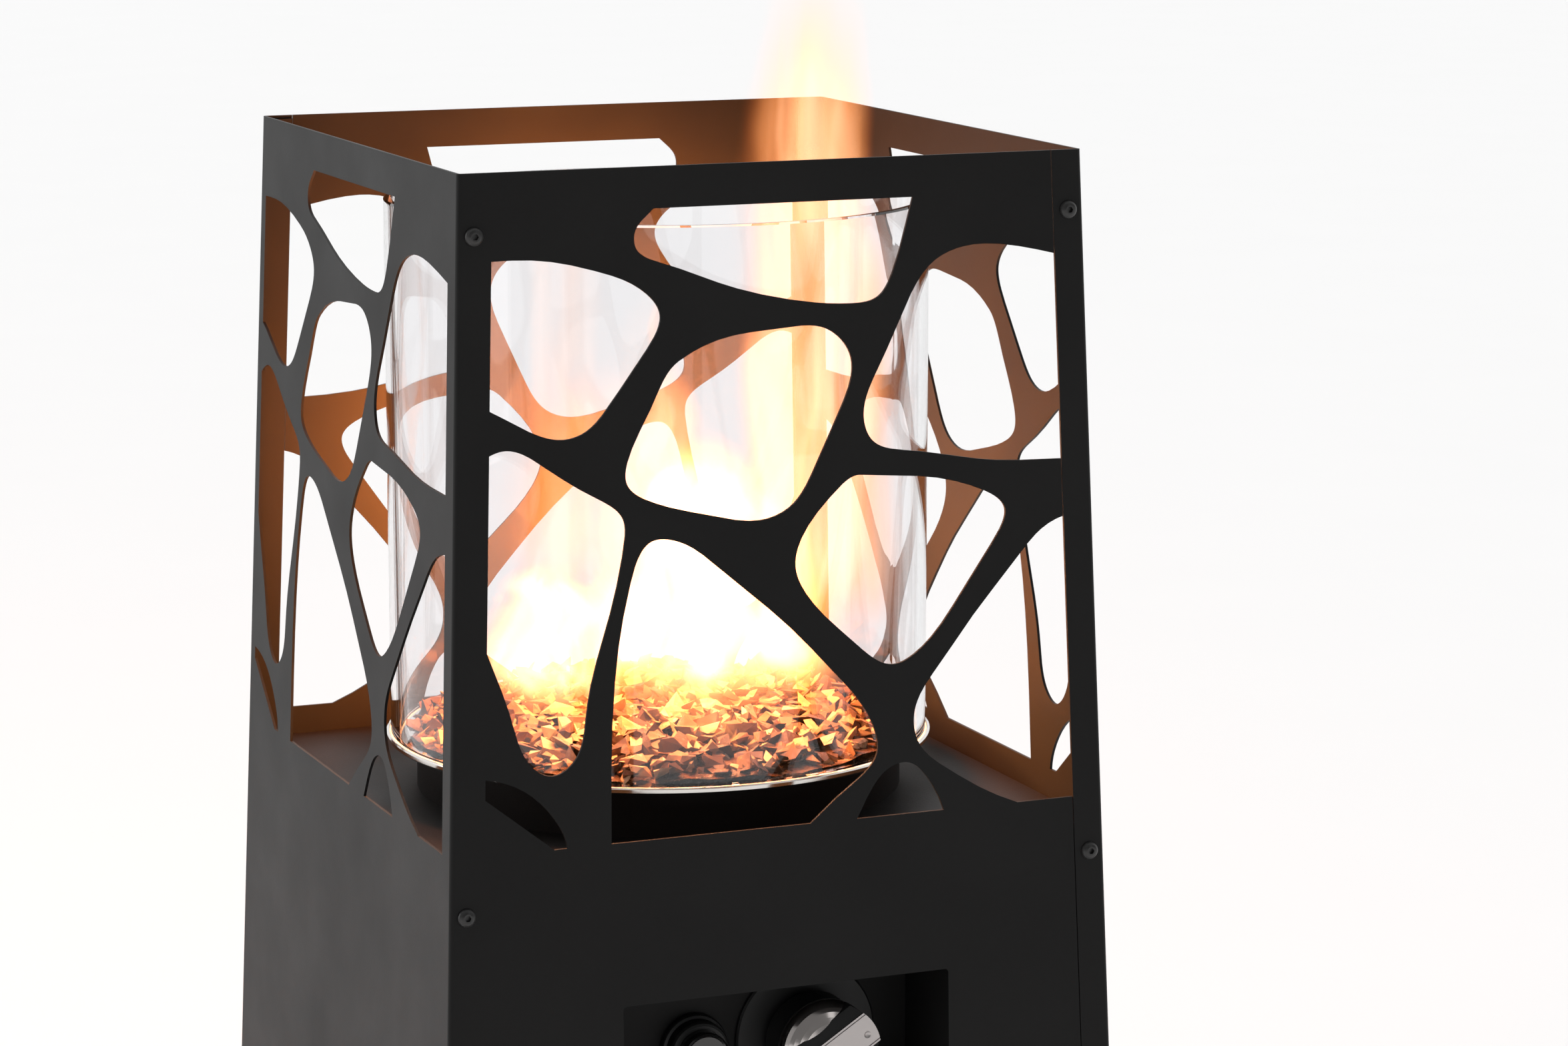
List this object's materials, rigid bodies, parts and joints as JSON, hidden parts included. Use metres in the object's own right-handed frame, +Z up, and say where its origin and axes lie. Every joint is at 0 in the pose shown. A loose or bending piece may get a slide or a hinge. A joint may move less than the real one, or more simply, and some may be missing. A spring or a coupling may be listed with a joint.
{
  "type": "outdoor heater",
  "caption": "Tapered square patio heater in black sheet metal with cell-shaped cut-outs round a clear glass flame cylinder, recessed knob and igniter, rear service door.",
  "frame": {"origin": "centre of the footprint, on the ground", "axes": "+Z up; the control face looks along -Y; the service door is in the +Y face; +X is to the right of someone facing the controls"},
  "size_m": [0.4288, 0.436, 1.15],
  "materials": {
    "black_oxide_steel": "black oxide, slight sheen",
    "black_plastic": "satin moulded",
    "brass": "machined",
    "button_gloss_black": "glossy",
    "clear_glass": "clear borosilicate",
    "electrode_ceramic": "glazed",
    "gas_tube_metal": "drawn tube",
    "gasket_fibre": "ceramic fibre",
    "glass_chips": "dark angular chips",
    "heat_proof_coating": "matt heat-proof coating",
    "knob_chrome": "polished",
    "knob_satin": "satin",
    "lead_rubber": "silicone sleeve",
    "polished_ring": "polished stainless",
    "powder_coat_black": "fine matt powder coat",
    "rubber_feet": "matt",
    "spring_steel": "drawn wire",
    "stainless_burner": "heat tinted",
    "valve_aluminium": "die cast",
    "wheel_plastic": "satin",
    "wheel_rubber": "matt",
    "zinc_steel": "zinc plated"
  },
  "bodies": {
    "chassis": {"base_plate": "powder_coat_black", "bottle_ring": "powder_coat_black", "burner_deck": "heat_proof_coating", "burner_drum": "heat_proof_coating", "burner_tray": "stainless_burner", "burner_tube": "gas_tube_metal", "chip_bed": "glass_chips", "compartment_ceiling": "heat_proof_coating", "control_tray": "powder_coat_black", "corner_posts": "powder_coat_black", "drum_screws": "black_oxide_steel", "frame_hinge_leaves": "powder_coat_black", "front_feet": "rubber_feet", "gas_injector": "brass", "gas_inlet_fitting": "brass", "glass_gasket": "gasket_fibre", "glass_ring": "polished_ring", "hinge_pins": "zinc_steel", "igniter_barrel": "black_plastic", "igniter_bezel": "black_plastic", "igniter_nut": "zinc_steel", "igniter_spring": "spring_steel", "ignition_lead": "lead_rubber", "knob_bezel": "black_plastic", "knob_spring": "spring_steel", "latch_keeper": "zinc_steel", "mixing_tube": "stainless_burner", "pilot_hood": "stainless_burner", "pilot_tube": "gas_tube_metal", "ring_burner": "stainless_burner", "shell_back_right": "powder_coat_black", "shell_front_left": "powder_coat_black", "shell_nuts": "black_oxide_steel", "shell_screws": "black_oxide_steel", "spark_electrode": "electrode_ceramic", "stub_axles": "zinc_steel", "supply_tube": "gas_tube_metal", "thermocouple": "stainless_burner", "tilt_switch": "black_plastic", "tray_studs": "black_oxide_steel", "valve_body": "valve_aluminium", "valve_bracket": "zinc_steel", "wheel_brackets": "zinc_steel"},
    "door": {"door_panel": "powder_coat_black", "door_hinge_leaves": "powder_coat_black", "latch_barrel": "black_plastic"},
    "door_latch": {"latch_handle": "black_plastic", "latch_cam": "zinc_steel"},
    "knob_push": {"push_collar": "brass"},
    "knob": {"valve_stem": "brass", "knob_skirt": "knob_chrome", "knob_fin": "black_plastic", "knob_grip": "knob_satin"},
    "igniter_button": {"igniter_cap": "button_gloss_black"},
    "glass": {"glass_cylinder": "clear_glass"},
    "air_shutter": {"air_shutter": "stainless_burner"},
    "left_wheel": {"left_wheel_hub": "wheel_plastic", "left_wheel_tyre": "wheel_rubber"},
    "right_wheel": {"right_wheel_hub": "wheel_plastic", "right_wheel_tyre": "wheel_rubber"}
  },
  "joints": [
    {"name": "door_hinge", "type": "hinge", "parent": "chassis", "child": "door", "pos_m": [0.1515, 0.20829, 0.32516], "axis": [0, -0.0348, 0.9994], "range_deg": [-110, 0]},
    {"name": "latch_turn", "type": "hinge", "parent": "door", "child": "door_latch", "pos_m": [-0.128, 0.2037, 0.325], "axis": [0, 0.9994, 0.0348], "range_deg": [0, 90]},
    {"name": "knob_press", "type": "slide", "parent": "chassis", "child": "knob_push", "axis": [0, 1, 0], "range_m": [0, 0.004], "stiffness_N_per_m": 1500, "springref_m": -0.002, "deforming": ["knob_spring"]},
    {"name": "knob_turn", "type": "hinge", "parent": "knob_push", "child": "knob", "pos_m": [0.033, -0.15, 0.665], "axis": [0, -1, 0], "range_deg": [-126, 54]},
    {"name": "igniter_press", "type": "slide", "parent": "chassis", "child": "igniter_button", "axis": [0, 1, 0], "range_m": [0, 0.005], "stiffness_N_per_m": 1200, "springref_m": -0.002, "deforming": ["igniter_spring"]},
    {"name": "glass_lift", "type": "slide", "parent": "chassis", "child": "glass", "axis": [0, 0, 1], "range_m": [0, 0.35]},
    {"name": "air_shutter_turn", "type": "hinge", "parent": "chassis", "child": "air_shutter", "pos_m": [0, 0, 0.724], "axis": [0, 0, 1], "range_deg": [0, 45]},
    {"name": "left_wheel_spin", "type": "hinge", "parent": "chassis", "child": "left_wheel", "pos_m": [-0.186, 0.15, 0.04], "axis": [1, 0, 0], "continuous": true},
    {"name": "right_wheel_spin", "type": "hinge", "parent": "chassis", "child": "right_wheel", "pos_m": [0.186, 0.15, 0.04], "axis": [1, 0, 0], "continuous": true}
  ]
}
